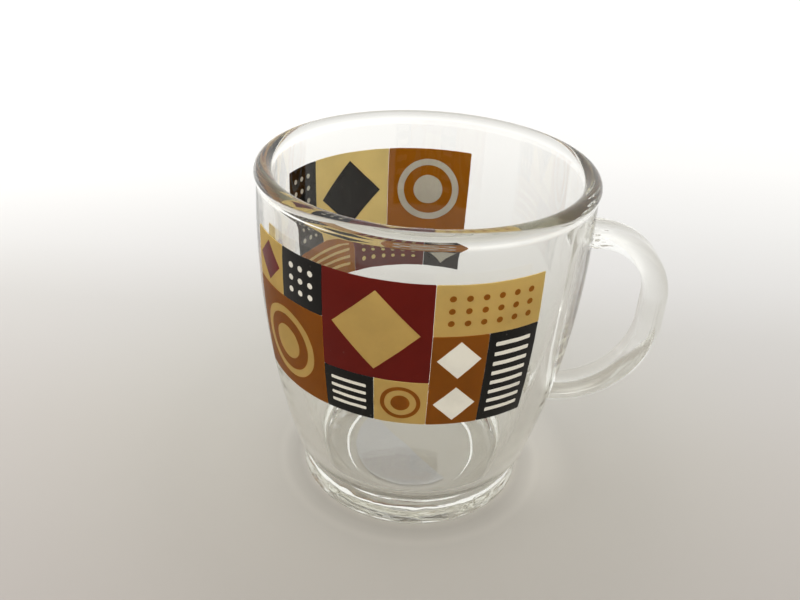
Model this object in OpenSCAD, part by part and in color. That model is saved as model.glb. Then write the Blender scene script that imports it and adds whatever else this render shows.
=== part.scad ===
// Glass mug for milky coffee: pressed bowl on a foot ring, fused ear handle and a fired enamel print.
// Millimetres. +Z is up, the bowl's axis is Z, the handle points along +X and the foot stands on z = 0.

/* [Bowl] */
// Height from the table to the top of the rim
mug_h = 92; // [80:1:110]
// Outer diameter at the widest point of the side
belly_d = 85; // [78:0.5:95]
// Distance from the top of the rim down to the widest point of the side
belly_drop = 17; // [14:0.5:28]
// Outer diameter of the side at its lower end, where it turns in to the foot
base_d = 69.4; // [66:0.2:74]
// Wall thickness at the widest point
wall_t = 4; // [3:0.1:5]
// Wall thickness at the level of the floor
wall_base_t = 5.2; // [4:0.1:7]
// How far the rim bead stands out from the side
rim_proud = 0.6; // [0.3:0.1:1.5]
// Radius of the hollow under the rim bead
rim_neck_r = 2.5; // [1:0.1:5]
// Height of the floor inside, from the table
floor_h = 4; // [3.6:0.1:6]
// Radius of the inside corner between the wall and the floor
inner_corner_r = 14; // [12:0.5:17]

/* [Foot] */
// Outer diameter of the foot ring
foot_d = 63.6; // [63.4:0.2:68]
// Height of the foot ring
foot_h = 6.4; // [4:0.1:9]
// Radius of the foot ring's upper edge
foot_edge_r = 1.6; // [0.6:0.1:1.7]
// Radius of the foot ring's lower edge
foot_sole_r = 1; // [0.4:0.1:1.6]
// Diameter at the bottom of the groove above the foot ring
groove_d = 58.4; // [57:0.2:58.6]
// Height of the groove, from the foot ring to the bowl's underside
groove_h = 2; // [1.7:0.1:4]
// Radius of the groove's inner corners
groove_r = 0.9; // [0.3:0.1:1]
// Radius that turns the side into the bowl's underside
shoulder_r = 6; // [4:0.5:10]
// Diameter of the hollow under the base
recess_d = 39.6; // [37:0.2:44]
// Depth of the hollow under the base
recess_h = 0.9; // [0.8:0.1:1.6]
// Radius of the hollow's upper corner
recess_corner_r = 0.7; // [0.2:0.1:0.7]

/* [Handle] */
// Distance from the top of the rim down to the upper arm's centre line
handle_drop = 16.9; // [12:0.1:20]
// Height of the lower arm's centre line
handle_low_h = 27; // [24:0.5:32]
// Distance from the bowl's axis to the handle's outer face
handle_reach = 65.1; // [62:0.1:74]
// Handle width, across the loop
handle_w = 9.8; // [8:0.2:15]
// Handle thickness, in the plane of the loop
handle_t = 6; // [5:0.2:8]
// Radius of the handle's long edges on its outer face
outer_edge_r = 2.4; // [1:0.1:2.5]
// Radius of the handle's long edges on the face that the fingers go through
inner_edge_r = 1.3; // [0.6:0.1:2.4]
// Centre line radius of the upper bend
upper_bend_r = 17.7; // [12:0.1:19]
// Length of the straight grip between the bends
grip_l = 6.4; // [2:0.2:10]

/* [Print] */
// Distance from the top of the rim down to the print's upper edge
print_drop = 11.5; // [9:0.1:18]
// Height of the printed band
print_h = 38.8; // [30:0.1:42]
// Thickness of the enamel
film_t = 0.15; // [0.1:0.01:0.3]
// Bare gap between neighbouring patches
patch_gap = 0.1; // [0.05:0.05:1]
// Direction of the front panel's left edge, in degrees from the handle
front_start = -155; // [-165:1:-140]
// Direction of the back panel's right edge, in degrees from the handle
back_start = 72; // [60:1:85]

/* [Motifs] */
// Radius of the outer ring, as a share of its patch
ring_share = 0.38; // [0.3:0.01:0.45]
// Width of the outer ring, as a share of its patch
ring_band_share = 0.08; // [0.04:0.01:0.12]
// Radius of the disc in the ring, as a share of its patch
disc_share = 0.18; // [0.1:0.01:0.2]
// Half diagonal of a lozenge, as a share of its patch
lozenge_share = 0.4; // [0.25:0.01:0.45]
// Radius of a dot, as a share of the dots' spacing
dot_share = 0.24; // [0.1:0.01:0.4]
// Width of a bar, as a share of the bars' spacing
bar_share = 0.4; // [0.2:0.05:0.7]
// Margin round dots and bars, as a share of one patch unit
margin_share = 0.14; // [0.05:0.01:0.25]

/* [Label] */
// Diameter of the round paper label, of which only a part is left
label_d = 34; // [24:0.5:35]
// Thickness of the paper
label_t = 0.12; // [0.05:0.01:0.3]
// Distance from the bowl's axis to the straight side where the label ends
label_cut = 1.6; // [-8:0.1:8]
// Direction of the straight side, in degrees from the handle
label_turn = -46.5; // [-180:0.5:180]

/* [Hidden] */
$fn = 96;
arc_fn = 720;     // the side's curve is large, so its circle is finer
arc_sag = 0.01;   // how far a straight stretch may lie inside its arc
past = 1;         // how far a cutter runs past what it cuts

belly_r = belly_d / 2;
belly_z = mug_h - belly_drop;
foot_r = foot_d / 2;
neck_r = groove_d / 2;
recess_r = recess_d / 2;

// Barrel curve of the side, through the widest point and the lower end
shoulder_z = foot_h + groove_h + shoulder_r;
side_in = belly_r - base_d / 2;
side_arc_r = (pow(belly_z - shoulder_z, 2) + pow(side_in, 2)) / (2 * side_in);

// Centres of the outer and the inner barrel curve. The inner one is lifted, so the wall thickens downwards.
side_c = [belly_r - side_arc_r, belly_z];
inner_lift = (wall_base_t - wall_t) * side_arc_r / (belly_z - floor_h);
inner_c = [belly_r - wall_t - side_arc_r, belly_z + inner_lift];

// Radius of the side at a height
function side_r(z) = side_c[0] + sqrt(pow(side_arc_r, 2) - pow(z - side_c[1], 2));
// Degrees round the bowl that a length on its side takes up
function around(length) = length / belly_r * 180 / PI;
// Direction from a to b, in degrees
function dir(a, b) = atan2(b[1] - a[1], b[0] - a[0]);
// Points along an arc that goes the short way round, close enough to stay within arc_sag of it
function arc(centre, r, from, to) =
    let (turn = to - from - 360 * round((to - from) / 360),
         n = ceil(abs(turn) / (2 * acos(1 - arc_sag / r))))
    [for (i = [0 : n]) let (a = from + turn * i / n) centre + r * [cos(a), sin(a)]];
// Crossing of two circles that lies to the right of the way from a to b
function crossing(a, ra, b, rb) =
    let (d = norm(b - a), x = (d * d + ra * ra - rb * rb) / (2 * d), y = sqrt(ra * ra - x * x),
         u = (b - a) / d)
    a + x * u + y * [u[1], -u[0]];

// Rim bead: touches the inner curve, tops out at mug_h and stands out from the side
rim_r = side_r(mug_h - wall_t / 2) + rim_proud;
bead_sum = rim_r - inner_c[0] + mug_h - inner_c[1] + side_arc_r;
bead_r = bead_sum - sqrt(pow(bead_sum, 2) - pow(rim_r - inner_c[0], 2) - pow(mug_h - inner_c[1], 2)
                         + pow(side_arc_r, 2));
bead_c = [rim_r - bead_r, mug_h - bead_r];
neck_c = crossing(side_c, side_arc_r + rim_neck_r, bead_c, bead_r + rim_neck_r);

// Shoulder: an arc inside the side curve, ending in the groove's upper corner
shoulder_c = [side_c[0] + sqrt(pow(side_arc_r - shoulder_r, 2) - pow(shoulder_z - side_c[1], 2)), shoulder_z];
groove_low_c = [neck_r + groove_r, foot_h + groove_r];
groove_top_c = [neck_r + groove_r,
                shoulder_z - sqrt(pow(shoulder_r + groove_r, 2) - pow(neck_r + groove_r - shoulder_c[0], 2))];

// Inside corner: an arc inside the inner curve, standing on the floor
corner_z = floor_h + inner_corner_r;
corner_c = [inner_c[0] + sqrt(pow(side_arc_r - inner_corner_r, 2) - pow(corner_z - inner_c[1], 2)), corner_z];

// Outside of the bowl from the sole to the rim's inner side, its inside down to the floor, and the hollow
// under the base. Neighbouring arcs touch without a corner.
outside = concat(
    arc([foot_r - foot_sole_r, foot_sole_r], foot_sole_r, -90, 0),
    arc([foot_r - foot_edge_r, foot_h - foot_edge_r], foot_edge_r, 0, 90),
    arc(groove_low_c, groove_r, -90, 180),
    arc(groove_top_c, groove_r, 180, dir(groove_top_c, shoulder_c)),
    arc(shoulder_c, shoulder_r, dir(shoulder_c, groove_top_c), dir(side_c, shoulder_c)),
    arc(side_c, side_arc_r, dir(side_c, shoulder_c), dir(side_c, neck_c)),
    arc(neck_c, rim_neck_r, dir(neck_c, side_c), dir(neck_c, bead_c)),
    arc(bead_c, bead_r, dir(bead_c, neck_c), 90),
    arc(bead_c, bead_r, 90, dir(bead_c, inner_c))
);
inside = concat(
    arc(inner_c, side_arc_r, dir(inner_c, bead_c), dir(inner_c, corner_c)),
    arc(corner_c, inner_corner_r, dir(inner_c, corner_c), -90)
);
under = arc([recess_r - recess_corner_r, recess_h - recess_corner_r], recess_corner_r, 90, 0);

// Handle centre line
handle_top_z = mug_h - handle_drop;
grip_x = handle_reach - handle_t / 2;
upper_c = [grip_x - upper_bend_r, handle_top_z - upper_bend_r];
lower_bend_r = upper_c[1] - grip_l - handle_low_h;
lower_c = [grip_x - lower_bend_r, handle_low_h + lower_bend_r];
arm_root = neck_r / 2;    // where the arms start, well inside the bowl

// Print grid of square units, this many high
print_rows = 3;
unit = print_h / print_rows;
print_z = mug_h - print_drop - print_h;
unit_deg = around(unit);
gap_deg = around(patch_gap);
dots_per_unit = 3;
bars_per_unit = 4;

// Patches of the two panels: [panel, column, row, columns, rows, field, motif, ink]
front = 0;
back = 1;
panel_start = [front_start, back_start];
patches = [
    [front, 0, 0, 2, 2, "brown", "ring", "tan"],
    [front, 0, 2, 1, 1, "tan", "lozenge", "maroon"],
    [front, 1, 2, 1, 1, "black", "dots", "white"],
    [front, 2, 1, 2, 2, "maroon", "lozenge", "tan"],
    [front, 2, 0, 1, 1, "black", "bars", "white"],
    [front, 3, 0, 1, 1, "tan", "ring", "brown"],
    [front, 4, 2, 2, 1, "tan", "dots", "brown"],
    [front, 4, 0, 1, 2, "brown", "lozenge", "white"],
    [front, 5, 0, 1, 2, "black", "bars", "white"],
    [back, 0, 1, 2, 2, "brown", "ring", "white"],
    [back, 2, 1, 2, 2, "tan", "lozenge", "black"],
    [back, 4, 1, 1, 2, "black", "dots", "white"],
    [back, 0, 0, 1, 1, "black", "lozenge", "white"],
    [back, 1, 0, 2, 1, "maroon", "dots", "tan"],
    [back, 3, 0, 2, 1, "brown", "bars", "tan"]
];

module disc(centre, r) {
    translate(centre) circle(r);
}

module glass_bowl() {
    color("azure", 0.5) rotate_extrude()
        polygon(concat(outside, inside, [[0, floor_h], [0, recess_h]], under, [[recess_r, 0]]));
}

// Bowl with its hollows filled in, which the handle's arms are cut to
module bowl_filled() {
    rotate_extrude() polygon(concat([[0, 0]], outside, [[0, bead_c[1]]]));
}

// Handle section: thickness along x with the outer face at +x, width along y
module handle_section() {
    outer_x = handle_t / 2 - outer_edge_r;
    inner_x = handle_t / 2 - inner_edge_r;
    outer_y = handle_w / 2 - outer_edge_r;
    inner_y = handle_w / 2 - inner_edge_r;
    translate([-inner_x, -handle_w / 2]) square([inner_x + outer_x, handle_w]);
    translate([0, -outer_y]) square([handle_t / 2, 2 * outer_y]);
    translate([-handle_t / 2, -inner_y]) square([handle_t / 2, 2 * inner_y]);
    for (side = [-1, 1]) {
        disc([outer_x, side * outer_y], outer_edge_r);
        disc([-inner_x, side * inner_y], inner_edge_r);
    }
}

// Bend of the handle in the XZ plane, from one direction to another in degrees above +X
module handle_bend(centre, r, from, to) {
    translate([centre[0], 0, centre[1]]) rotate([90, 0, 0]) rotate([0, 0, from])
        rotate_extrude(angle = to - from) translate([r, 0]) handle_section();
}

// Straight arm along X at a height. Its outer face points down, or up after half a turn.
module handle_arm(z, x_end, turn) {
    translate([arm_root, 0, z]) rotate([turn, 0, 0]) rotate([0, 90, 0])
        linear_extrude(x_end - arm_root) handle_section();
}

module handle() {
    color("azure", 0.5) difference() {
        union() {
            handle_arm(handle_top_z, upper_c[0], 180);
            handle_bend(upper_c, upper_bend_r, 0, 90);
            translate([grip_x, 0, lower_c[1]]) linear_extrude(grip_l) handle_section();
            handle_bend(lower_c, lower_bend_r, -90, 0);
            handle_arm(handle_low_h, lower_c[0], 0);
        }
        bowl_filled();
    }
}

// Enamel over the side, between two directions and two heights
module film(a0, a1, z0, z1) {
    rotate([0, 0, a0]) rotate_extrude(angle = a1 - a0) intersection() {
        difference() {
            translate(side_c) circle(side_arc_r + film_t, $fn = arc_fn);
            translate(side_c) circle(side_arc_r, $fn = arc_fn);
        }
        translate([neck_r, z0]) square([belly_d - neck_r, z1 - z0]);
    }
}

// Ring with a disc in it
module ring_motif(w, h) {
    size = min(w, h);
    difference() {
        circle(size * ring_share);
        circle(size * (ring_share - ring_band_share));
    }
    circle(size * disc_share);
}

// One lozenge in each square of the patch
module lozenge_motif(w, h) {
    size = min(w, h);
    half = size * lozenge_share;
    for (x = [size / 2 : size : w], y = [size / 2 : size : h]) {
        translate([x - w / 2, y - h / 2]) polygon([[half, 0], [0, half], [-half, 0], [0, -half]]);
    }
}

// Rows of dots
module dots_motif(w, h) {
    margin = unit * margin_share;
    nx = round(w / unit) * dots_per_unit;
    ny = round(h / unit) * dots_per_unit;
    step = [(w - 2 * margin) / nx, (h - 2 * margin) / ny];
    for (i = [0 : nx - 1], j = [0 : ny - 1]) {
        translate([(i + 0.5) * step[0] + margin - w / 2, (j + 0.5) * step[1] + margin - h / 2])
            circle(min(step) * dot_share);
    }
}

// Level bars
module bars_motif(w, h) {
    margin = unit * margin_share;
    n = round(h / unit) * bars_per_unit;
    step = (h - 2 * margin) / n;
    for (j = [0 : n - 1]) {
        translate([0, (j + 0.5) * step + margin - h / 2])
            square([w - 2 * margin, step * bar_share], center = true);
    }
}

module motif(kind, w, h) {
    if (kind == "ring") ring_motif(w, h);
    if (kind == "lozenge") lozenge_motif(w, h);
    if (kind == "dots") dots_motif(w, h);
    if (kind == "bars") bars_motif(w, h);
}

// A patch's enamel in one ink: its field without the motif, its motif, or nothing
module patch(p, ink) {
    a0 = panel_start[p[0]] + p[1] * unit_deg;
    a1 = a0 + p[3] * unit_deg - gap_deg;
    z0 = print_z + p[2] * unit;
    z1 = z0 + p[4] * unit - patch_gap;
    w = p[3] * unit - patch_gap;
    h = z1 - z0;
    if (p[5] == ink) difference() {
        film(a0, a1, z0, z1);
        motif_cutter(p[6], (a0 + a1) / 2, (z0 + z1) / 2, w, h);
    }
    if (p[7] == ink) intersection() {
        film(a0, a1, z0, z1);
        motif_cutter(p[6], (a0 + a1) / 2, (z0 + z1) / 2, w, h);
    }
}

// Motif pushed outwards through the side, centred on a direction and a height
module motif_cutter(kind, a, z, w, h) {
    rotate([0, 0, a]) translate([neck_r, 0, z]) rotate([90, 0, 90])
        linear_extrude(belly_r - neck_r + past) motif(kind, w, h);
}

module enamel(ink) {
    for (p = patches) {
        patch(p, ink);
    }
}

module enamel_tan() {
    color([0.73, 0.59, 0.33]) enamel("tan");
}

module enamel_brown() {
    color([0.45, 0.27, 0.09]) enamel("brown");
}

module enamel_maroon() {
    color([0.33, 0.12, 0.09]) enamel("maroon");
}

module enamel_black() {
    color([0.12, 0.11, 0.1]) enamel("black");
}

module enamel_white() {
    color([0.86, 0.84, 0.8]) enamel("white");
}

// Blank sticker on the ceiling of the hollow under the base, a disc that ends at a straight side
module base_label() {
    r = label_d / 2;
    color("white") rotate([0, 0, label_turn]) translate([0, 0, recess_h - label_t]) linear_extrude(label_t)
        difference() {
            circle(r);
            translate([-r - past, -label_cut]) square([2 * (r + past), r + label_cut + past]);
        }
}

glass_bowl();
handle();
enamel_tan();
enamel_brown();
enamel_maroon();
enamel_black();
enamel_white();
base_label();
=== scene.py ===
import math

import bmesh
import bpy
import numpy as np
from mathutils import Matrix, Vector, noise


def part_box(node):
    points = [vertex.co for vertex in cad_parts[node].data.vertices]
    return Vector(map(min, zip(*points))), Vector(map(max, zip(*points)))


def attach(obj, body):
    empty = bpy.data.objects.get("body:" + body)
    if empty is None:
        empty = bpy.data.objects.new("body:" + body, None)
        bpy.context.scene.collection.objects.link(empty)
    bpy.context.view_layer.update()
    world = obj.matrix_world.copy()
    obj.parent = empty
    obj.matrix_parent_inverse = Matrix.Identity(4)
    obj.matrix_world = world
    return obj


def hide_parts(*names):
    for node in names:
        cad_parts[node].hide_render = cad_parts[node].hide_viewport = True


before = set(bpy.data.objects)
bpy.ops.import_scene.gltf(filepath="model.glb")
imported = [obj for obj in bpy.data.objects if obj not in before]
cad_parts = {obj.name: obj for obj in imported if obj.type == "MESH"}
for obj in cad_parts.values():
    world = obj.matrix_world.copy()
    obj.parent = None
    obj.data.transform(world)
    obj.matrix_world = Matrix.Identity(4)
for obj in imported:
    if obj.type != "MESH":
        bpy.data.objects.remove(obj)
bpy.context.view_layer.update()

mm = 0.001
touch = 1e-7    # points nearer than this are one point
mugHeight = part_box("glass_bowl")[1].z
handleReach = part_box("handle")[1].x


# Shader nodes: a wire is one node's output, and sums on it add Math nodes

class Wire:
    def __init__(self, tree, socket=None):
        self.tree = tree
        self.socket = socket

    def node(self, kind, settings=None, sockets=None, out=0):
        made = self.tree.nodes.new("ShaderNode" + kind)
        for key, value in (settings or {}).items():
            if key == "stops":
                stops = made.color_ramp.elements
                while len(stops) < len(value):
                    stops.new(1)
                for stop, (place, colour) in zip(stops, value):
                    stop.position = place
                    stop.color = (*colour, 1)
            else:
                setattr(made, key, value)
        for key, value in (sockets or {}).items():
            self.feed(made.inputs[key], value)
        return Wire(self.tree, made.outputs[out] if made.outputs else None)

    def feed(self, socket, value):
        if isinstance(value, Wire):
            self.tree.links.new(value.socket, socket)
        elif isinstance(value, tuple) and socket.type == "RGBA":
            socket.default_value = (*value, 1)
        else:
            socket.default_value = value

    def maths(self, operation, *terms):
        return self.node("Math", {"operation": operation}, dict(enumerate(terms)))

    def __add__(self, other):
        return self.maths("ADD", self, other)

    def __sub__(self, other):
        return self.maths("SUBTRACT", self, other)

    def __rsub__(self, other):
        return self.maths("SUBTRACT", other, self)

    def __mul__(self, other):
        return self.maths("MULTIPLY", self, other)

    def __truediv__(self, other):
        return self.maths("DIVIDE", self, other)

    __radd__ = __add__
    __rmul__ = __mul__

    def between(self, low, high):
        span = {"Value": self, "From Min": low, "From Max": high}
        return self.node("MapRange", {"interpolation_type": "SMOOTHSTEP"}, span)

    def blend(self, share, first, second):
        return self.node("Mix", {"data_type": "RGBA"}, {0: share, 6: first, 7: second}, 2)

    def noise(self, place, scale, detail=2.0, rough=0.5):
        sockets = {"Vector": place, "Scale": scale, "Detail": detail, "Roughness": rough}
        return self.node("TexNoise", None, sockets)

    def place(self):
        return self.node("TexCoord", out=3)

    def bump(self, height, strength, distance):
        return self.node("Bump", None, {"Height": height, "Strength": strength, "Distance": distance})


def newMaterial(name):
    made = bpy.data.materials.new(name)
    made.use_nodes = True
    made.node_tree.nodes.clear()
    return made, Wire(made.node_tree)


def endWith(wire, **shaders):
    wire.node("OutputMaterial", None, shaders)


def shade(colour, share):
    return tuple(c * share for c in colour)


# Shapes that every piece uses

def arc(centre, radius, start, end, step):
    turn = (end - start + math.pi) % (2 * math.pi) - math.pi
    count = max(2, math.ceil(abs(turn) * radius / step))
    angles = [start + turn * i / count for i in range(count + 1)]
    return [(centre[0] + radius * math.cos(a), centre[1] + radius * math.sin(a)) for a in angles]


def heading(start, end):
    return math.atan2(end[1] - start[1], end[0] - start[0])


def line(start, end, count):
    return [tuple(np.array(start) + (np.array(end) - start) * i / count) for i in range(count + 1)]


def lengths(points):
    return np.concatenate(([0], np.cumsum(np.linalg.norm(np.diff(points, axis=0), axis=1))))


def smoothstep(x):
    x = min(1.0, max(0.0, x))
    return x * x * (3 - 2 * x)


def meshPiece(name, points, faces, material, smooth=True):
    mesh = bpy.data.meshes.new(name)
    mesh.from_pydata(points, [], faces)
    mesh.polygons.foreach_set("use_smooth", [smooth] * len(mesh.polygons))
    mesh.materials.append(material)
    mesh.update()
    piece = bpy.data.objects.new(name, mesh)
    bpy.context.scene.collection.objects.link(piece)
    return piece


def lathe(outline, turns):
    points, rings = [], []
    for radius, z in outline:
        first = len(points)
        if radius < touch:
            points.append((0.0, 0.0, z))
            rings.append([first] * turns)
            continue
        for i in range(turns):
            a = 2 * math.pi * i / turns
            points.append((radius * math.cos(a), radius * math.sin(a), z))
        rings.append(list(range(first, first + turns)))
    faces = []
    for low, high in zip(rings, rings[1:]):
        for i in range(turns):
            j = (i + 1) % turns
            corners = [low[i], low[j], high[j], high[i]]
            faces.append(list(dict.fromkeys(corners)))
    return points, faces


# Glass

glass = {
    "colour": (0.992, 0.995, 0.985),
    "ior": 1.52,
    "depthColour": (0.74, 0.73, 0.62),  # tint that long ways through the glass take on
    "depth": 18.0,
    "fineScale": 7,             # a fine ripple lies on the slow one
    "fineShare": 0.05,
    "hazeScale": 140.0,
    "hazeSpan": (0.4, 0.8),
    "hazeShade": 0.992,
    "clearRough": 0.6,          # share of a piece's roughness where it is clear
    "hazeRough": 0.8,           # and what the haze adds
}


def glassMaterial(name, piece):
    made, wire = newMaterial(name)
    place = wire.place()
    slow = wire.noise(place, piece["rippleScale"], detail=1.5)
    fine = wire.noise(place, piece["rippleScale"] * glass["fineScale"], detail=1.0)
    haze = wire.noise(place, glass["hazeScale"], detail=3.0).between(*glass["hazeSpan"])
    soak = wire.node("VolumeAbsorption", None, {"Color": glass["depthColour"], "Density": glass["depth"]})
    endWith(wire, Volume=soak, Surface=wire.node("BsdfPrincipled", None, {
        "Base Color": wire.blend(haze, glass["colour"], shade(glass["colour"], glass["hazeShade"])),
        "Roughness": piece["rough"] * (glass["clearRough"] + haze * glass["hazeRough"]),
        "IOR": glass["ior"],
        "Transmission Weight": 1.0,
        "Normal": wire.bump(slow + fine * glass["fineShare"], 1.0, piece["ripple"])}))
    return made


# Bowl

bowl = {
    "belly": 42.5 * mm,
    "bellyDrop": 17 * mm,
    "base": 34.7 * mm,
    "wall": 4 * mm,
    "wallLow": 5.2 * mm,
    "rimProud": 0.6 * mm,
    "rimNeck": 2.5 * mm,
    "floor": 4 * mm,
    "corner": 14 * mm,
    "foot": 31.8 * mm,
    "footHeight": 6.4 * mm,
    "footEdge": 1.6 * mm,
    "sole": 1 * mm,
    "groove": 29.2 * mm,
    "grooveHeight": 2 * mm,
    "grooveRound": 0.9 * mm,
    "shoulder": 6 * mm,
    "recess": 19.8 * mm,        # hollow under the base, with a soft edge of two roundings
    "recessHeight": 0.9 * mm,
    "recessCorner": 0.9 * mm,
    "soleInner": 2.2 * mm,
    "stipple": 0.12 * mm,       # depth of the rough bearing ring
    "stippleFade": 1.2 * mm,
    "streaks": 7.0,
    "streakWidth": 1.3 * mm,
    "streakGain": 0.7,
    "fineRound": 2.3,           # finer streaks among those
    "fineAcross": 1.7,
    "fineShare": 0.5,
    "waveDepth": 0.02 * mm,     # upright waves that the plunger leaves inside
    "waveFrom": 0.7,            # share of the wall past which a point is on its inside
    "waves": 9.0,
    "waveRise": 12,
    "waveFoot": 6 * mm,
    "waveHead": 14 * mm,
    "rippleScale": 55.0,
    "ripple": 0.05 * mm,
    "rough": 0.006,
    "turns": 240,
    "steps": (0.18 * mm, 0.45 * mm, 1.2 * mm),  # along tight, middling and wide curves
    "ceilingRings": 14,
    "soleRings": 14,
    "floorRings": 12,
}

bellyZ = mugHeight - bowl["bellyDrop"]
shoulderZ = bowl["footHeight"] + bowl["grooveHeight"] + bowl["shoulder"]
sideIn = bowl["belly"] - bowl["base"]
sideRadius = ((bellyZ - shoulderZ) ** 2 + sideIn ** 2) / (2 * sideIn)
sideCentre = (bowl["belly"] - sideRadius, bellyZ)
innerLift = (bowl["wallLow"] - bowl["wall"]) * sideRadius / (bellyZ - bowl["floor"])
innerCentre = (bowl["belly"] - bowl["wall"] - sideRadius, bellyZ + innerLift)


def sideAt(z):
    return sideCentre[0] + math.sqrt(sideRadius ** 2 - (z - sideCentre[1]) ** 2)


# centre of a rounding at height z that touches a side's arc from within
def roundingCentre(side, radius, z):
    return side[0] + math.sqrt((sideRadius - radius) ** 2 - (z - side[1]) ** 2), z


# where circles round a and b cross, to the right of the way from a to b
def crossing(a, ra, b, rb):
    a, b = np.array(a), np.array(b)
    d = np.linalg.norm(b - a)
    x = (d * d + ra * ra - rb * rb) / (2 * d)
    u = (b - a) / d
    return a + x * u + math.sqrt(ra * ra - x * x) * np.array((u[1], -u[0]))


def bowlOutline():
    fine, mid, wide = bowl["steps"]
    right, up, left, down = 0, math.pi / 2, math.pi, -math.pi / 2
    foot, sole, edge = bowl["foot"], bowl["sole"], bowl["footEdge"]
    shoulder, groove, corner = bowl["shoulder"], bowl["grooveRound"], bowl["corner"]

    # the bead keeps to the rim's width and the mug's height, and touches the inner side
    rim = sideAt(mugHeight - bowl["wall"] / 2) + bowl["rimProud"]
    reach = np.array((rim, mugHeight)) - innerCentre
    total = reach.sum() + sideRadius
    bead = total - math.sqrt(total ** 2 - (reach ** 2).sum() + sideRadius ** 2)
    beadCentre = (rim - bead, mugHeight - bead)
    neck = bowl["rimNeck"]
    neckCentre = crossing(sideCentre, sideRadius + neck, beadCentre, bead + neck)

    shoulderCentre = roundingCentre(sideCentre, shoulder, shoulderZ)
    cornerCentre = roundingCentre(innerCentre, corner, bowl["floor"] + corner)
    grooveX = bowl["groove"] + groove
    grooveDrop = math.sqrt((shoulder + groove) ** 2 - (grooveX - shoulderCentre[0]) ** 2)
    grooveTop = (grooveX, shoulderZ - grooveDrop)
    grooveLow = (grooveX, bowl["footHeight"] + groove)

    ceiling, hollow, lip = bowl["recessHeight"], bowl["recessCorner"], bowl["soleInner"]
    slope = math.acos(1 - ceiling / (hollow + lip))
    hollowX = bowl["recess"] - hollow * math.sin(slope)
    lipX = bowl["recess"] + lip * math.sin(slope)

    shoulderEnd, neckEnd = heading(sideCentre, shoulderCentre), heading(sideCentre, neckCentre)
    beadEnd, cornerEnd = heading(innerCentre, beadCentre), heading(innerCentre, cornerCentre)
    stretches = [
        line((0.0, ceiling), (hollowX, ceiling), bowl["ceilingRings"]),
        arc((hollowX, ceiling - hollow), hollow, up, up - slope, fine),
        arc((lipX, lip), lip, down - slope, down, fine),
        line((lipX, 0.0), (foot - sole, 0.0), bowl["soleRings"]),
        arc((foot - sole, sole), sole, down, right, fine),
        arc((foot - edge, bowl["footHeight"] - edge), edge, right, up, fine),
        arc(grooveLow, groove, down, left, fine),
        arc(grooveTop, groove, left, heading(grooveTop, shoulderCentre), fine),
        arc(shoulderCentre, shoulder, heading(shoulderCentre, grooveTop), shoulderEnd, mid),
        arc(sideCentre, sideRadius, shoulderEnd, neckEnd, wide),
        arc(neckCentre, neck, heading(neckCentre, sideCentre), heading(neckCentre, beadCentre), fine),
        arc(beadCentre, bead, heading(beadCentre, neckCentre), up, fine),
        arc(beadCentre, bead, up, heading(beadCentre, innerCentre), fine),
        arc(innerCentre, sideRadius, beadEnd, cornerEnd, wide),
        arc(cornerCentre, corner, cornerEnd, down, mid),
        line((cornerCentre[0], bowl["floor"]), (0.0, bowl["floor"]), bowl["floorRings"]),
    ]
    outline = []
    for stretch in stretches:
        for point in stretch:
            if not outline or math.dist(point, outline[-1]) > touch:
                outline.append((max(0.0, float(point[0])), float(point[1])))
    return outline


def innerWave(x, y, z):
    r = math.hypot(x, y)
    fade = smoothstep((z - shoulderZ) / bowl["waveFoot"]) * smoothstep((mugHeight - z) / bowl["waveHead"])
    around = Vector((x / r, y / r, 0)) * bowl["waves"] + Vector((0, 0, z * bowl["waveRise"]))
    swell = 1 + bowl["waveDepth"] * fade * noise.noise(around) / r
    return x * swell, y * swell, z


def soleHeight(x, y, inner, outer):
    r = math.hypot(x, y)
    fade = smoothstep((r - inner) / bowl["stippleFade"]) * smoothstep((outer - r) / bowl["stippleFade"])
    around = Vector((x / r, y / r, 0)) * bowl["streaks"]
    across = r / bowl["streakWidth"]
    elsewhere = Vector((5, 0, bowl["fineAcross"] * across))
    grain = noise.noise(around + Vector((0, 0, across)))
    grain += bowl["fineShare"] * noise.noise(around * bowl["fineRound"] + elsewhere)
    return bowl["stipple"] * fade * min(1.0, max(0.0, 0.5 + bowl["streakGain"] * grain))


def makeBowl():
    points, faces = lathe(bowlOutline(), bowl["turns"])
    inner, outer = bowl["recess"] + bowl["soleInner"], bowl["foot"] - bowl["sole"]
    shaped = []
    for x, y, z in points:
        r = math.hypot(x, y)
        if z > shoulderZ and r < sideAt(z) - bowl["waveFrom"] * bowl["wall"]:
            x, y, z = innerWave(x, y, z)
        elif z < touch and inner < r < outer:
            z = soleHeight(x, y, inner, outer)
        shaped.append((x, y, z))
    return meshPiece("glassBody", shaped, faces, glassMaterial("pressedGlass", bowl))


# Handle

handle = {
    "drop": 16.9 * mm,
    "low": 27 * mm,
    "width": 9.8 * mm,
    "thick": 6 * mm,
    "bend": 17.7 * mm,
    "grip": 6.4 * mm,
    "innerEdge": 3.0 * mm,
    "outerEdge": 2.4 * mm,
    "crown": 0.12 * mm,
    "sink": 1.5 * mm,           # how far the ends run into the wall
    "endReach": 4 * mm,         # length over which they take the wall's shape
    "endRings": (0.75, 0.5, 0.25),
    "fillet": 0.5 * mm,         # swelling of the weld
    "filletReach": 0.8 * mm,
    "chill": 0.5 * mm,          # depth of the wrinkles by the upper weld
    "chillStart": 0.8 * mm,
    "chillReach": 9 * mm,
    "chillScale": (350, 350, 1100),
    "rippleScale": 120.0,
    "ripple": 0.02 * mm,
    "rough": 0.13,
    "loop": 96,
    "edgeStep": 0.1 * mm,
    "step": 0.48 * mm,
}


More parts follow.
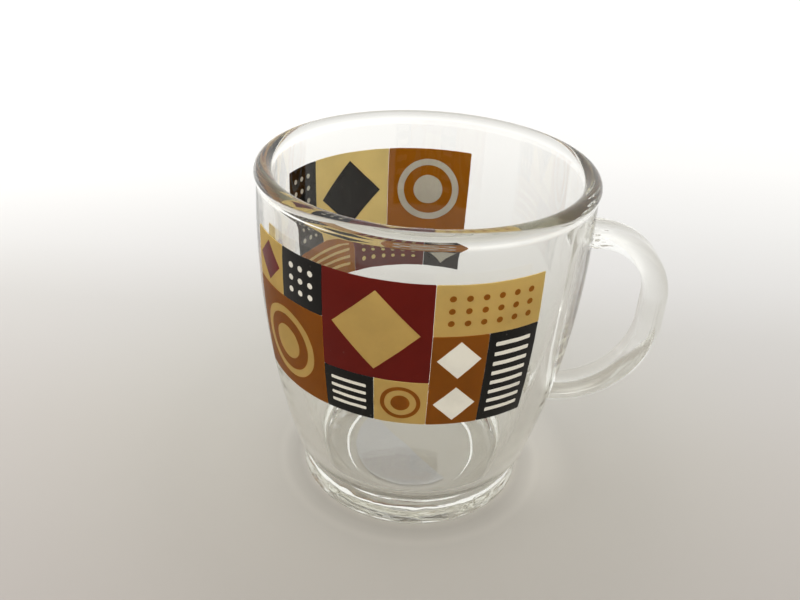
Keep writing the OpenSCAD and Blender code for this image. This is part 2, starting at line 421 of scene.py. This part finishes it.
def handlePath():
    gripX = handleReach - handle["thick"] / 2
    topZ = mugHeight - handle["drop"]
    upper = handle["bend"]
    upperCentre = (gripX - upper, topZ - upper)
    lower = upperCentre[1] - handle["grip"] - handle["low"]
    lowerCentre = (gripX - lower, handle["low"] + lower)
    step = handle["step"]
    rootX = sideAt(topZ) - handle["sink"]
    stop = math.acos((sideAt(handle["low"]) - handle["sink"] - lowerCentre[0]) / lower)
    path = line((rootX, topZ), (upperCentre[0], topZ), math.ceil((upperCentre[0] - rootX) / step))
    path += arc(upperCentre, upper, math.pi / 2, 0, step)[1:]
    path += line(path[-1], (gripX, lowerCentre[1]), math.ceil(handle["grip"] / step))[1:]
    path += arc(lowerCentre, lower, 0, -stop, step)[1:]
    return np.array(path)


def handleLoop():
    x, y = handle["thick"] / 2, handle["width"] / 2
    outer, inner, step = handle["outerEdge"], handle["innerEdge"], handle["edgeStep"]
    outline = arc((x - outer, -y + outer), outer, -math.pi / 2, 0, step)
    outline += arc((x - outer, y - outer), outer, 0, math.pi / 2, step)
    outline += arc((-x + inner, y - inner), inner, math.pi / 2, math.pi, step)
    outline += arc((-x + inner, -y + inner), inner, math.pi, -math.pi / 2, step)
    outline = np.array(outline + outline[:1])
    along = lengths(outline)
    at = np.linspace(0, along[-1], handle["loop"] + 1)[:-1]
    loop = np.stack([np.interp(at, along, outline[:, k]) for k in (0, 1)], 1)
    loop[:, 0] -= np.sign(loop[:, 0]) * handle["crown"] * (loop[:, 1] / y) ** 2
    return loop


def wallAt(y, z):
    return math.sqrt((sideAt(z) - handle["sink"]) ** 2 - y * y)


def handleRing(loop, centre, tangent, root, fromRoot, isUpper):
    outward = np.array((-tangent[1], tangent[0]))
    swell = handle["fillet"] * math.exp(-fromRoot / handle["filletReach"])
    ring = []
    for across, side in loop:
        size = math.hypot(across, side)
        a, b = across * (1 + swell / size), side * (1 + swell / size)
        x, z = centre + outward * a
        y = b
        if fromRoot < handle["endReach"]:   # the ends follow the wall
            x += (wallAt(y, z) - root[0]) * (1 - smoothstep(fromRoot / handle["endReach"]))
        if isUpper and fromRoot < handle["chillReach"]:
            fade = 1 - smoothstep(fromRoot / handle["chillReach"])
            fade *= smoothstep(fromRoot / handle["chillStart"])
            ridge = 1 - abs(noise.noise(Vector((x, y, z)) * Vector(handle["chillScale"])) * 2)
            push = handle["chill"] * fade * (ridge - 0.5) / size
            y += push * b
            z += push * outward[1] * a
        ring.append((x, y, z))
    return ring


# end face in shrinking rings, shaped to the wall
def closeEnd(points, faces, last, flip):
    edge = np.array([points[i] for i in last])
    middle = edge.mean(axis=0)
    count = len(last)
    for share in handle["endRings"]:
        new = list(range(len(points), len(points) + count))
        for y, z in (middle + (edge - middle) * share)[:, 1:]:
            points.append((wallAt(y, z), y, z))
        for j in range(count):
            k = (j + 1) % count
            quad = (last[j], last[k], new[k], new[j])
            faces.append(quad[::-1] if flip else quad)
        last = new
    points.append((wallAt(middle[1], middle[2]), middle[1], middle[2]))
    for j in range(count):
        tri = (last[j], last[(j + 1) % count], len(points) - 1)
        faces.append(tri[::-1] if flip else tri)


def makeHandle():
    path, loop = handlePath(), handleLoop()
    along = lengths(path)
    total = along[-1]
    tangents = np.gradient(path, axis=0)
    tangents /= np.linalg.norm(tangents, axis=1)[:, None]
    points, faces = [], []
    for centre, tangent, s in zip(path, tangents, along):
        isUpper = s < total / 2
        root = path[0] if isUpper else path[-1]
        points += handleRing(loop, centre, tangent, root, min(s, total - s), isUpper)
    count = len(loop)
    for first in range(0, len(points) - count, count):
        for j in range(count):
            k = (j + 1) % count
            faces.append((first + j, first + count + j, first + count + k, first + k))
    upperEnd = list(range(count))
    lowerEnd = list(range(len(points) - count, len(points)))
    closeEnd(points, faces, upperEnd, False)
    closeEnd(points, faces, lowerEnd, True)
    return meshPiece("earHandle", points, faces, glassMaterial("handleGlass", handle))


def weld(body, arm):
    join = body.modifiers.new("weld", "BOOLEAN")
    join.operation, join.solver, join.object = "UNION", "MANIFOLD", arm
    join.material_mode = "TRANSFER"
    mesh = bpy.data.meshes.new_from_object(body.evaluated_get(bpy.context.evaluated_depsgraph_get()))
    body.modifiers.clear()
    body.data = mesh
    bpy.data.objects.remove(arm)
    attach(body, "root")
    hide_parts("glass_bowl", "handle")


# Enamel print

printBand = {
    "drop": 11.5 * mm,
    "height": 38.8 * mm,
    "rows": 3,
    "gap": 0.1 * mm,
    "film": 0.15 * mm,
    "key": 0.03 * mm,           # depth that the enamel bites into the glass
    "frontStart": -155.0,
    "backStart": 72.0,
    "wobble": 0.07 * mm,        # how far the printed edges waver
    "wobbleScale": 420,
    "cell": 1.3 * mm,           # longest facet of a patch
    "corner": 0.25 * mm,
}

# rings and lozenges are shares of a patch's shorter side, dots and bars of their spacing,
# and the margin of one unit
motif = {
    "ring": 0.38,
    "ringBand": 0.08,
    "disc": 0.18,
    "lozenge": 0.4,
    "dot": 0.24,
    "bar": 0.4,
    "margin": 0.14,
    "dotsPerUnit": 3,
    "barsPerUnit": 4,
    "ringPoints": 56,
    "dotPoints": 24,
}

# panel, column, row, columns, rows, field, motif, ink
patches = [
    ("front", 0, 0, 2, 2, "brown", "ring", "tan"),
    ("front", 0, 2, 1, 1, "tan", "lozenge", "maroon"),
    ("front", 1, 2, 1, 1, "black", "dots", "white"),
    ("front", 2, 1, 2, 2, "maroon", "lozenge", "tan"),
    ("front", 2, 0, 1, 1, "black", "bars", "white"),
    ("front", 3, 0, 1, 1, "tan", "ring", "brown"),
    ("front", 4, 2, 2, 1, "tan", "dots", "brown"),
    ("front", 4, 0, 1, 2, "brown", "lozenge", "white"),
    ("front", 5, 0, 1, 2, "black", "bars", "white"),
    ("back", 0, 1, 2, 2, "brown", "ring", "white"),
    ("back", 2, 1, 2, 2, "tan", "lozenge", "black"),
    ("back", 4, 1, 1, 2, "black", "dots", "white"),
    ("back", 0, 0, 1, 1, "black", "lozenge", "white"),
    ("back", 1, 0, 2, 1, "maroon", "dots", "tan"),
    ("back", 3, 0, 2, 1, "brown", "bars", "tan"),
]
unit = printBand["height"] / printBand["rows"]
printLow = mugHeight - printBand["drop"] - printBand["height"]


def roundLoop(centre, radius, count):
    angles = [2 * math.pi * i / count for i in range(count)]
    return [(centre[0] + radius * math.cos(a), centre[1] + radius * math.sin(a)) for a in angles]


def boxLoop(centre, width, height):
    corner = printBand["corner"]
    x, y = width / 2 - corner, height / 2 - corner
    loop = []
    for sx, sy, quarter in ((1, 1, 0), (-1, 1, 1), (-1, -1, 2), (1, -1, 3)):
        middle = (centre[0] + sx * x, centre[1] + sy * y)
        loop += arc(middle, corner, quarter * math.pi / 2, (quarter + 1) * math.pi / 2, corner / 2)
    return loop


# A motif is a list of shapes, each an outer loop and the loops of its holes

def ringMotif(w, h):
    size, middle = min(w, h), (w / 2, h / 2)
    radii = [motif["ring"], motif["ring"] - motif["ringBand"], motif["disc"]]
    outer, inner, disc = [roundLoop(middle, size * share, motif["ringPoints"]) for share in radii]
    return [[outer, inner], [disc]]


def lozengeMotif(w, h):
    size = min(w, h)
    half = size * motif["lozenge"]
    shapes = []
    for i in range(round(w / size)):
        for j in range(round(h / size)):
            x, y = size * (i + 0.5), size * (j + 0.5)
            shapes.append([[(x + half, y), (x, y + half), (x - half, y), (x, y - half)]])
    return shapes


def dotsMotif(w, h):
    margin = unit * motif["margin"]
    across, up = (round(length / unit) * motif["dotsPerUnit"] for length in (w, h))
    stepX, stepY = (w - 2 * margin) / across, (h - 2 * margin) / up
    radius = min(stepX, stepY) * motif["dot"]
    shapes = []
    for i in range(across):
        for j in range(up):
            centre = (margin + (i + 0.5) * stepX, margin + (j + 0.5) * stepY)
            shapes.append([roundLoop(centre, radius, motif["dotPoints"])])
    return shapes


def barsMotif(w, h):
    margin = unit * motif["margin"]
    count = round(h / unit) * motif["barsPerUnit"]
    step = (h - 2 * margin) / count
    size = (w - 2 * margin, step * motif["bar"])
    return [[boxLoop((w / 2, margin + (j + 0.5) * step), *size)] for j in range(count)]


motifMakers = {"ring": ringMotif, "lozenge": lozengeMotif, "dots": dotsMotif, "bars": barsMotif}


def fillShape(loops, origin):
    bm = bmesh.new()
    for loop in loops:
        corners = [bm.verts.new((x + origin[0], y + origin[1], 0)) for x, y in loop]
        for a, b in zip(corners, corners[1:] + corners[:1]):
            bm.edges.new((a, b))
    bmesh.ops.triangle_fill(bm, edges=bm.edges[:], use_beauty=True)
    xs, ys = [v.co.x for v in bm.verts], [v.co.y for v in bm.verts]
    for normal, low, high in (((1, 0, 0), min(xs), max(xs)), ((0, 1, 0), min(ys), max(ys))):
        count = math.ceil((high - low) / printBand["cell"])
        for i in range(1, count):   # cuts, so that the flat shape can bend round the bowl
            at = Vector(normal) * (low + (high - low) * i / count)
            everything = bm.verts[:] + bm.edges[:] + bm.faces[:]
            bmesh.ops.bisect_plane(bm, geom=everything, dist=touch, plane_co=at, plane_no=normal)
    raised = bmesh.ops.extrude_face_region(bm, geom=bm.faces[:], use_keep_orig=True)
    for item in raised["geom"]:
        if isinstance(item, bmesh.types.BMVert):
            item.co.z = 1           # marks the outer face until wrap
    bmesh.ops.recalc_face_normals(bm, faces=bm.faces[:])
    return bm


def wrap(co, start):
    here = Vector((co.x, co.y, 3)) * printBand["wobbleScale"]
    elsewhere = here + Vector((9, 4, 7))
    across = co.x + printBand["wobble"] * noise.noise(here)
    z = co.y + printBand["wobble"] * noise.noise(elsewhere)
    radius = sideAt(z) + (printBand["film"] if co.z > 0.5 else -printBand["key"])
    a = math.radians(start) + across / bowl["belly"]
    return Vector((radius * math.cos(a), radius * math.sin(a), z))


def enamelShapes(ink):
    for panel, column, row, columns, rows, field, motifName, motifInk in patches:
        w, h = columns * unit - printBand["gap"], rows * unit - printBand["gap"]
        origin = (column * unit, printLow + row * unit)
        start = printBand[panel + "Start"]
        inside = motifMakers[motifName](w, h)
        if field == ink:
            rings = [shape for shape in inside if len(shape) > 1]
            cuts = [shape[0] for shape in rings or inside]  # a disc lies in its ring's own hole
            yield start, origin, [boxLoop((w / 2, h / 2), w, h)] + cuts
            for ring in rings:
                discs = [shape[0] for shape in inside if shape is not ring]
                yield start, origin, ring[1:] + discs
        if motifInk == ink:
            for shape in inside:
                yield start, origin, shape


# colour in front light, colour with the light behind, and the share of light that
# passes the outer and the inner face
enamelColours = {
    "tan": ((0.84, 0.52, 0.16), (1.0, 0.87, 0.52), 0.82, 0.98),
    "brown": ((0.28, 0.09, 0.016), (0.74, 0.42, 0.09), 0.7, 0.85),
    "maroon": ((0.14, 0.009, 0.005), (0.62, 0.12, 0.08), 0.4, 0.5),
    "black": ((0.003, 0.003, 0.002), (0.05, 0.045, 0.04), 0.05, 0.05),
    "white": ((0.97, 0.94, 0.85), (0.98, 0.96, 0.89), 0.3, 0.6),
}

enamel = {
    "ior": 1.3,
    "rough": 0.16,
    "cloudScale": 90.0,         # uneven firing
    "cloudSpan": (0.4, 0.7),
    "cloudShade": 0.9,
    "cloudGlow": 0.94,
    "cloudRough": 0.1,
    "cloudRelief": 0.5,
    "pitScale": 700.0,          # pinholes
    "pitSpan": (0.74, 0.8),
    "pitColour": (0.7, 0.68, 0.62),
    "pitShare": 0.08,
    "grainScale": 1600.0,
    "grainRelief": 0.25,
    "relief": 0.02 * mm,
    "reliefStrength": 0.35,
    "faceSpan": (-5 * mm, 5 * mm),  # tells the inner face from the outer one
}


def enamelMaterial(ink):
    made, wire = newMaterial("fired" + ink.capitalize())
    main, glow, outerShare, innerShare = enamelColours[ink]
    place = wire.place()
    cloud = wire.noise(place, enamel["cloudScale"], detail=4.0, rough=0.6).between(*enamel["cloudSpan"])
    pits = wire.noise(place, enamel["pitScale"], detail=1.0).between(*enamel["pitSpan"])
    grain = wire.noise(place, enamel["grainScale"])
    colour = wire.blend(cloud, main, shade(main, enamel["cloudShade"]))
    relief = cloud * enamel["cloudRelief"] + grain * enamel["grainRelief"]
    skin = wire.node("BsdfPrincipled", None, {
        "Base Color": wire.blend(pits * enamel["pitShare"], colour, enamel["pitColour"]),
        "Roughness": enamel["rough"] + cloud * enamel["cloudRough"],
        "IOR": enamel["ior"],
        "Normal": wire.bump(relief, enamel["reliefStrength"], enamel["relief"])})
    deep = wire.blend(cloud, glow, shade(glow, enamel["cloudGlow"]))
    through = wire.node("BsdfTranslucent", None, {"Color": deep})
    facing = wire.node("NewGeometry", out=1)
    outer = wire.node("VectorMath", {"operation": "DOT_PRODUCT"}, {0: facing, 1: place}, 1)
    share = innerShare + outer.between(*enamel["faceSpan"]) * (outerShare - innerShare)
    endWith(wire, Surface=wire.node("MixShader", None, {0: share, 1: skin, 2: through}))
    return made


def makeEnamel(ink):
    points, faces = [], []
    for start, origin, loops in enamelShapes(ink):
        bm = fillShape(loops, origin)
        first = len(points)
        bm.verts.index_update()
        points += [wrap(v.co, start) for v in bm.verts]
        faces += [[first + v.index for v in f.verts] for f in bm.faces]
        bm.free()
    piece = meshPiece("print." + ink, points, faces, enamelMaterial(ink), smooth=False)
    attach(piece, "root")
    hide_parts("enamel_" + ink)


# Sticker under the base

label = {
    "radius": 17 * mm,
    "edge": 1.6 * mm,           # how far the straight side is from the axis
    "turn": -46.5,
    "thick": 0.12 * mm,
    "lift": 0.01 * mm,          # air between the sticker and the glass
    "points": 73,
    "colours": ((0.98, 0.97, 0.99), (0.95, 0.94, 0.97)),    # clean and stained
    "stainScale": 110.0,
    "stainSpan": (0.35, 0.75),
    "fibreColour": (0.99, 0.98, 0.98),
    "fibreScale": 700.0,
    "fibreSpan": (0.45, 0.75),
    "fibreShare": 0.3,
    "rough": 0.7,
    "fibreRough": 0.2,
    "ior": 1.4,
    "relief": 0.03 * mm,
    "reliefStrength": 0.4,
}


def paperMaterial():
    made, wire = newMaterial("labelPaper")
    place = wire.place()
    fibre = wire.noise(place, label["fibreScale"], detail=5.0, rough=0.7)
    stain = wire.noise(place, label["stainScale"], detail=3.0).between(*label["stainSpan"])
    colour = wire.blend(stain, *label["colours"])
    threads = fibre.between(*label["fibreSpan"]) * label["fibreShare"]
    endWith(wire, Surface=wire.node("BsdfPrincipled", None, {
        "Base Color": wire.blend(threads, colour, label["fibreColour"]),
        "Roughness": label["rough"] + fibre * label["fibreRough"],
        "IOR": label["ior"],
        "Normal": wire.bump(fibre, label["reliefStrength"], label["relief"])}))
    return made


def makeLabel():
    half = math.acos(label["edge"] / label["radius"])
    loop = []
    for share in np.linspace(-1, 1, label["points"]):
        a = half * share - math.pi / 2
        loop.append((label["radius"] * math.cos(a), label["radius"] * math.sin(a)))
    top = bowl["recessHeight"] - label["lift"]
    bottom = bowl["recessHeight"] - label["thick"]
    count = len(loop)
    turn = Matrix.Rotation(math.radians(label["turn"]), 4, "Z")
    points = [turn @ Vector((x, y, z)) for z in (bottom, top) for x, y in loop]
    faces = [list(range(count))[::-1], list(range(count, 2 * count))]
    for j in range(count):
        k = (j + 1) % count
        faces.append((j, k, count + k, count + j))
    piece = meshPiece("sticker", points, faces, paperMaterial(), smooth=False)
    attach(piece, "root")
    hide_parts("base_label")


# Stage, light and camera

stage = {
    "size": 6.0,
    "nearest": -0.08,
    "farthest": 0.40,
    # share of the way from nearest to farthest, and the paper's tone there: darker towards the camera,
    # painted shade where less light falls
    "tones": [
        (0.0, (0.416, 0.386, 0.366)),
        (0.17, (0.494, 0.469, 0.446)),
        (0.32, (0.569, 0.557, 0.541)),
        (0.42, (0.665, 0.66, 0.654)),
        (0.55, (0.755, 0.755, 0.752)),
        (0.72, (0.85, 0.85, 0.85)),
        (1.0, (0.92, 0.92, 0.92)),
    ],
    "near": 0.1,                # painted light: lifts of the tone where the glass gathers light, under, near and beside the foot
    "nearEdge": (38 * mm, 75 * mm),
    "beside": 0.27,
    "besideEdge": (37 * mm, 51 * mm),
    "besideFrom": (-28 * mm, -8 * mm),
    "besideSide": (-70 * mm, 70 * mm),
    "under": 0.76,
    "underEdge": (28 * mm, 34 * mm),
    # painted caustic: a lighter ring on the paper round the foot
    "halo": 0.06,
    "haloRadius": 38 * mm,
    "haloWidth": 2.2 * mm,
    "left": 0.9,                # painted light: lift per metre to the left, the paper lighter on that side
    "nearTint": (0.995, 1.002, 0.97),
    "farTint": (1.0, 0.995, 1.0),
    "tintEdge": (45 * mm, 150 * mm),
    "rough": 0.75,
    "shine": 0.2,
}


def paperFloor():
    made, wire = newMaterial("paperSweep")
    place = wire.place()
    across = wire.node("SeparateXYZ", None, {0: place}, 0)
    far = wire.node("SeparateXYZ", None, {0: place}, 1)
    out = wire.node("VectorMath", {"operation": "LENGTH"}, {0: place}, 1)
    # the tone ramp darkens the paper towards the camera: painted shade
    along = (far - stage["nearest"]) / (stage["farthest"] - stage["nearest"])
    tone = wire.node("ValToRGB", {"stops": stage["tones"]}, {"Fac": along})
    # painted light: the paper's tone is lifted under, near and beside the foot and in a ring round it,
    # where the glass would gather light
    halo = 1 - wire.maths("ABSOLUTE", out - stage["haloRadius"]).between(0.0, stage["haloWidth"])
    beside = far.between(*stage["besideFrom"]) * across.between(*stage["besideSide"])
    lift = 1 + stage["under"] * (1 - out.between(*stage["underEdge"])) + stage["halo"] * halo
    lift = lift + stage["near"] * (1 - out.between(*stage["nearEdge"]))
    lift = lift + stage["beside"] * (1 - out.between(*stage["besideEdge"])) * beside
    # painted light: the paper grows lighter to the left
    lift = lift - stage["left"] * wire.maths("MINIMUM", across, 0.0)
    tone = wire.node("VectorMath", {"operation": "SCALE"}, {0: tone, "Scale": lift})
    cast = wire.blend(out.between(*stage["tintEdge"]), stage["nearTint"], stage["farTint"])
    tone = wire.node("VectorMath", {"operation": "MULTIPLY"}, {0: tone, 1: cast})
    endWith(wire, Surface=wire.node("BsdfPrincipled", None, {
        "Base Color": tone, "Roughness": stage["rough"], "Specular IOR Level": stage["shine"]}))
    return made


def makeStage():
    half = stage["size"] / 2
    corners = [(-half, -half, 0), (half, -half, 0), (half, half, 0), (-half, half, 0)]
    floor = meshPiece("paperFloor", corners, [(0, 1, 2, 3)], paperFloor(), smooth=False)


lights = {
    "back": 1.08,               # strengths of the surroundings, and the directions between them
    "frontLow": 1.35,
    "frontHigh": 0.5,
    "frontRise": (0.25, 0.6),
    "backEdge": (-0.9, 0.3),
    "top": 0.8,
    "topEdge": (0.8, 0.98),
    "frontTint": (1.0, 0.97, 0.86),
    "softboxPlace": (0.1, -1.5, 1.5),
    "softboxAim": (0, 0, 0.04),
    "softboxSize": (2.6, 1.8),
    "softboxPower": 7.0,
    "bounces": 64,              # with few, the thick rim turns black
}


def makeWorld():
    world = bpy.data.worlds.new("studio")
    bpy.context.scene.world = world
    world.use_nodes = True
    world.node_tree.nodes.clear()
    wire = Wire(world.node_tree)
    direction = wire.node("TexCoord", out=0)
    back = wire.node("SeparateXYZ", None, {0: direction}, 1)
    above = wire.node("SeparateXYZ", None, {0: direction}, 2)
    behind = back.between(*lights["backEdge"])
    rise = above.between(*lights["frontRise"])
    front = lights["frontLow"] + rise * (lights["frontHigh"] - lights["frontLow"])
    strength = front + behind * (lights["back"] - front)
    strength = strength + lights["top"] * above.between(*lights["topEdge"])
    seen = wire.node("LightPath", out=0)
    strength = strength + seen * (1 - strength)     # the camera itself sees plain white
    tint = wire.blend((1 - behind) * (1 - seen), (1.0, 1.0, 1.0), lights["frontTint"])
    shine = wire.node("Background", None, {"Color": tint, "Strength": strength})
    wire.node("OutputWorld", None, {"Surface": shine})


def makeSoftbox():
    lamp = bpy.data.lights.new("softbox", "AREA")
    lamp.shape = "RECTANGLE"
    lamp.size, lamp.size_y = lights["softboxSize"]
    lamp.energy = lights["softboxPower"]
    made = bpy.data.objects.new("softbox", lamp)
    made.location = lights["softboxPlace"]
    aim = Vector(lights["softboxAim"]) - made.location
    made.rotation_euler = aim.to_track_quat("-Z", "Y").to_euler()
    bpy.context.scene.collection.objects.link(made)


camera = {
    "place": (0, -186.83 * mm, 160.62 * mm),
    "pitch": 30.27,
    "yaw": 1.6035,
    "roll": 2.935,
    "lens": 35.753,
    "sensor": 36,
    "nearest": 0.01,
}


def makeCamera():
    data = bpy.data.cameras.new("camera")
    data.lens = camera["lens"]
    data.sensor_width = camera["sensor"]
    data.clip_start = camera["nearest"]
    made = bpy.data.objects.new("camera", data)
    turn = (Matrix.Rotation(math.radians(camera["yaw"]), 4, "Z")
            @ Matrix.Rotation(math.radians(90 - camera["pitch"]), 4, "X")
            @ Matrix.Rotation(math.radians(camera["roll"]), 4, "Z"))
    made.matrix_world = Matrix.Translation(camera["place"]) @ turn
    bpy.context.scene.collection.objects.link(made)
    bpy.context.scene.camera = made


makeCamera()
weld(makeBowl(), makeHandle())
print("glass done")
for ink in enamelColours:
    makeEnamel(ink)
print("enamel done")
makeLabel()
print("sticker done")
makeStage()
makeWorld()
makeSoftbox()
scene = bpy.context.scene
scene.view_settings.view_transform = "Standard"
scene.cycles.max_bounces = lights["bounces"]
scene.cycles.transmission_bounces = lights["bounces"]
scene.cycles.glossy_bounces = lights["bounces"]
print("stage done")
